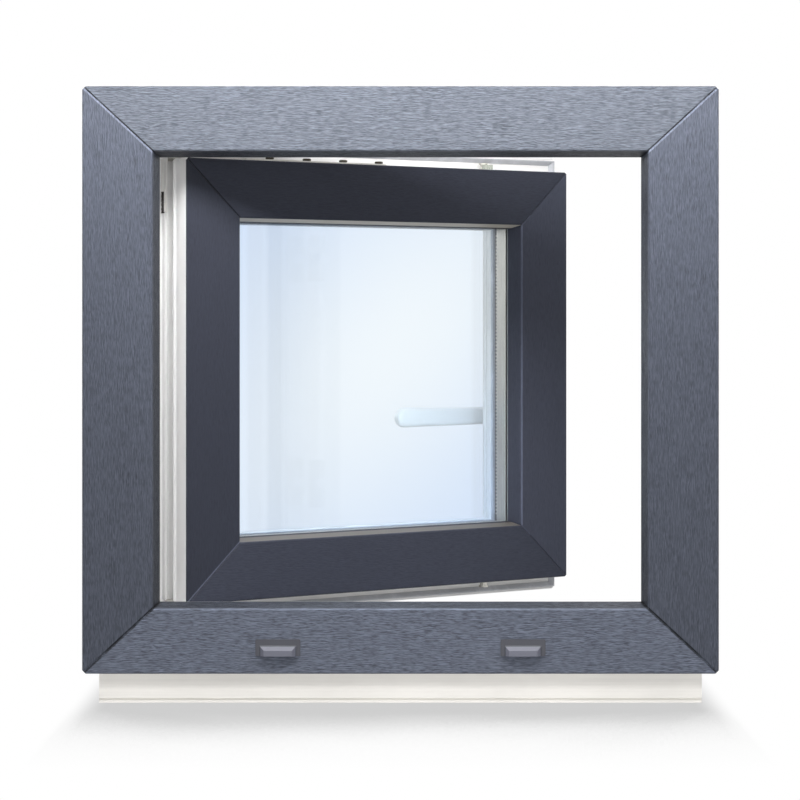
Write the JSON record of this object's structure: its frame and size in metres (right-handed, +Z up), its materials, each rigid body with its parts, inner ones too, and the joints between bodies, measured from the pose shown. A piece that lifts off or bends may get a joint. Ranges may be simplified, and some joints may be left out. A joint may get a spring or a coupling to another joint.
{
  "type": "basement window",
  "caption": "Inward-opening plastic window with its sash swung into the room, dark foil outside, white inside, on a pale sill profile.",
  "frame": {"origin": "on the underside of the sill connection profile, half way along it and half way through the frame's depth", "axes": "+X from the hinge side to the lock side as seen from outside, +Y from the outside face into the room, +Z up"},
  "size_m": [0.65, 0.4538, 0.63],
  "materials": {
    "foil_plastic": "anthracite wood-grain foil on white plastic",
    "drain_cap_plastic": "anthracite, moulded",
    "white_plastic": "smooth extruded, cream white",
    "grey_seal": "soft, grey",
    "edge_sealant": "matte, black",
    "clear_glass": "clear float",
    "spacer_aluminium": "mill finish, perforated",
    "bright_steel": "zinc plated",
    "cast_zinc": "die cast",
    "white_coated_metal": "powder coated, white"
  },
  "bodies": {
    "root": {"frame_head": "foil_plastic", "frame_sill": "foil_plastic", "frame_left_jamb": "foil_plastic", "frame_right_jamb": "foil_plastic", "sash_top_rail": "foil_plastic", "sash_bottom_rail": "foil_plastic", "sash_hinge_stile": "foil_plastic", "sash_lock_stile": "foil_plastic", "drain_cap_left": "drain_cap_plastic", "drain_cap_right": "drain_cap_plastic", "sill_profile": "white_plastic", "bead_top": "white_plastic", "bead_bottom": "white_plastic", "bead_hinge_side": "white_plastic", "bead_lock_side": "white_plastic", "frame_seal": "grey_seal", "sash_seal": "grey_seal", "outer_glazing_seal": "grey_seal", "inner_glazing_seal": "grey_seal", "glass_edge_seal": "edge_sealant", "outer_pane": "clear_glass", "inner_pane": "clear_glass", "spacer_bar": "spacer_aluminium", "faceplate_top": "bright_steel", "faceplate_bottom": "bright_steel", "faceplate_lock_side": "bright_steel", "stay_arm": "bright_steel", "locking_cam_upper": "bright_steel", "locking_cam_lower": "bright_steel", "locking_cam_head": "bright_steel", "locking_cam_sill": "bright_steel", "lower_hinge_pin": "bright_steel", "upper_hinge_pin": "bright_steel", "strike_plate_upper": "cast_zinc", "strike_plate_lower": "cast_zinc", "strike_plate_head": "cast_zinc", "strike_plate_sill": "cast_zinc", "handle_rosette": "white_coated_metal", "handle_lever": "white_coated_metal", "upper_hinge_strap": "white_coated_metal", "lower_hinge_bearing": "white_coated_metal", "lower_hinge_barrel": "white_coated_metal", "upper_hinge_bearing": "white_coated_metal", "upper_hinge_barrel": "white_coated_metal"}
  },
  "joints": []
}
